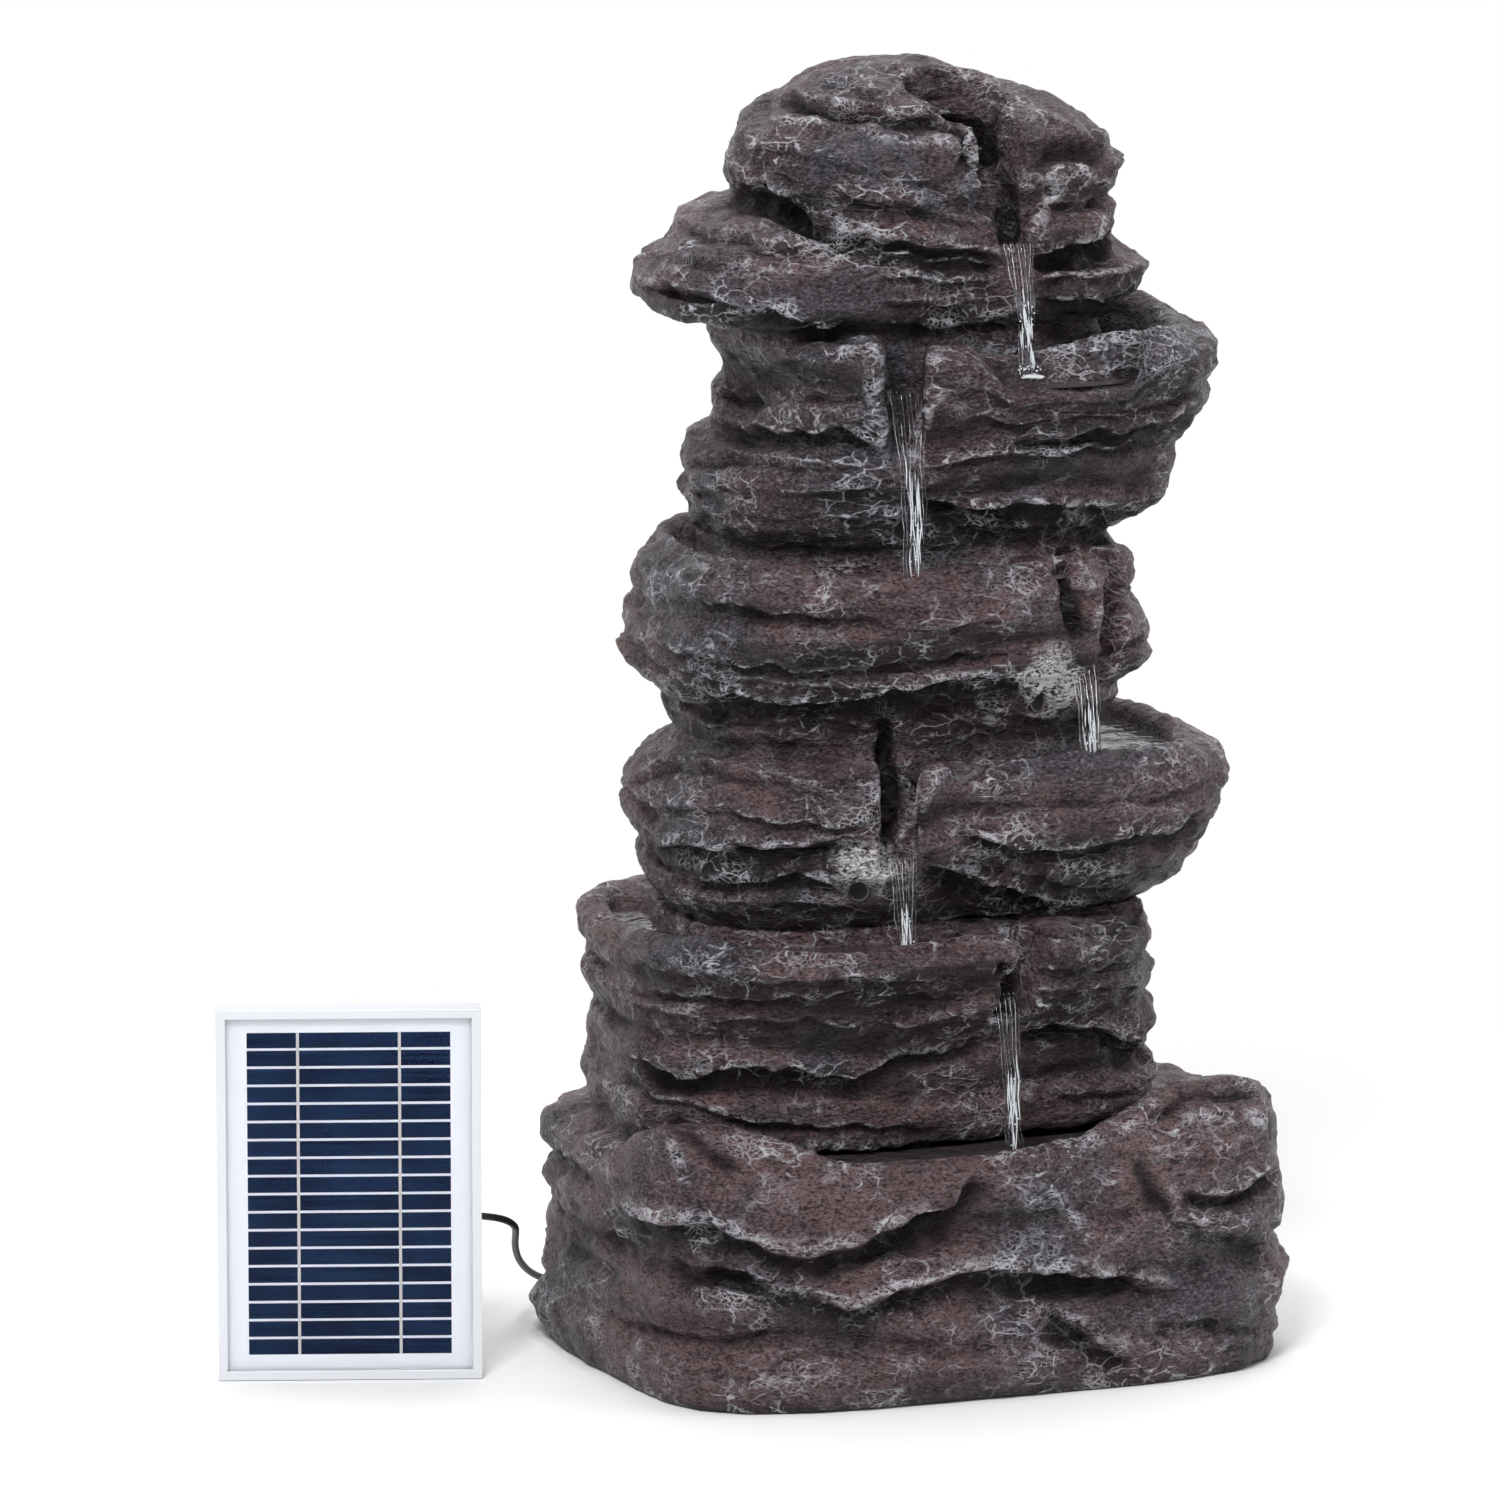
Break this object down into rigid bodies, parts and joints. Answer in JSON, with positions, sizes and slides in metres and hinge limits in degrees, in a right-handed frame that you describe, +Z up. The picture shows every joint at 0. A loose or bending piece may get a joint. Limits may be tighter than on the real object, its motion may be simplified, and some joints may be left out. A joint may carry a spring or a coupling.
{
  "type": "solar fountain",
  "caption": "Rock-look cascade fountain with bowls, spouts, a hidden pump and lamps, and a framed solar panel beside it on a wound cord.",
  "frame": {"origin": "on the floor under the middle of the basin's flat underside", "axes": "+Z up, -Y towards the front where the spouts fall, +X to the fountain's right as seen from the front"},
  "size_m": [0.5837, 0.381, 0.71],
  "materials": {
    "cast_rock": "matte, dry-brushed",
    "pump_plastic": "satin",
    "clear_hose": "gloss",
    "black_rubber": "matte",
    "steel": "satin",
    "ferrite": "matte",
    "lamp_body": "gloss",
    "lamp_lens": "clear",
    "anodised_frame": "satin",
    "panel_glass": "clear",
    "blue_cells": "gloss",
    "tinned_ribbon": "satin",
    "white_backsheet": "satin",
    "box_plastic": "satin",
    "battery_sleeve": "gloss",
    "board": "gloss",
    "button_plastic": "gloss",
    "cord_sheath": "satin"
  },
  "bodies": {
    "fountain": {"base_basin": "cast_rock", "lower_tier": "cast_rock", "middle_right_tier": "cast_rock", "middle_left_tier": "cast_rock", "upper_tier": "cast_rock", "shoulder_tier": "cast_rock", "crown_rock": "cast_rock", "pump_housing": "pump_plastic", "volute_cover": "pump_plastic", "pump_strainer": "pump_plastic", "pump_outlet_nozzle": "pump_plastic", "impeller_shaft": "steel", "shaft_bushes": "black_rubber", "suction_cups": "black_rubber", "riser_hose": "clear_hose", "crown_outlet": "pump_plastic", "lamp_housings": "lamp_body", "lamp_lenses": "lamp_lens", "lamp_leads": "cord_sheath", "pump_lead": "cord_sheath", "supply_lead": "cord_sheath", "cable_junction": "pump_plastic", "cable_grommet": "black_rubber", "panel_frame_left": "anodised_frame", "panel_frame_right": "anodised_frame", "panel_frame_top": "anodised_frame", "panel_frame_bottom": "anodised_frame", "frame_screws": "steel", "panel_glass": "panel_glass", "solar_cells": "blue_cells", "cell_ribbons": "tinned_ribbon", "panel_backsheet": "white_backsheet", "control_box": "box_plastic", "control_box_lid": "box_plastic", "lid_seal": "black_rubber", "lid_screws": "steel", "battery_cells": "battery_sleeve", "circuit_board": "board", "cable_gland": "box_plastic", "stand_bracket": "steel", "bracket_screws": "steel", "stand_pin": "steel", "cord_to_panel": "cord_sheath", "cord_coil": "cord_sheath", "cord_to_tower": "cord_sheath", "coil_tie": "pump_plastic"},
    "hatch": {"pump_hatch": "cast_rock"},
    "fold_out_foot": {"stand_foot": "box_plastic", "foot_pads": "black_rubber"},
    "button": {"power_button": "button_plastic"},
    "pump_rotor": {"impeller": "pump_plastic", "rotor_magnet": "ferrite"},
    "flow_dial": {"flow_knob": "pump_plastic"}
  },
  "joints": [
    {"name": "hatch_slide", "type": "slide", "parent": "fountain", "child": "hatch", "axis": [0, 1, 0], "range_m": [0, 0.06]},
    {"name": "foot_fold", "type": "hinge", "parent": "fountain", "child": "fold_out_foot", "pos_m": [-0.30245, 0.06027, 0.0047], "axis": [0.9516, -0.3074, 0], "range_deg": [0, 90]},
    {"name": "button_press", "type": "slide", "parent": "fountain", "child": "button", "axis": [-0.3074, -0.9516, 0], "range_m": [0, 0.0012], "stiffness_N_per_m": 400, "springref_m": -0.001},
    {"name": "rotor_spin", "type": "hinge", "parent": "fountain", "child": "pump_rotor", "pos_m": [0.008, 0.05, 0.035], "axis": [1, 0, 0], "continuous": true},
    {"name": "flow_turn", "type": "hinge", "parent": "fountain", "child": "flow_dial", "pos_m": [0.0455, 0.05, 0.035], "axis": [1, 0, 0], "range_deg": [0, 90]}
  ]
}
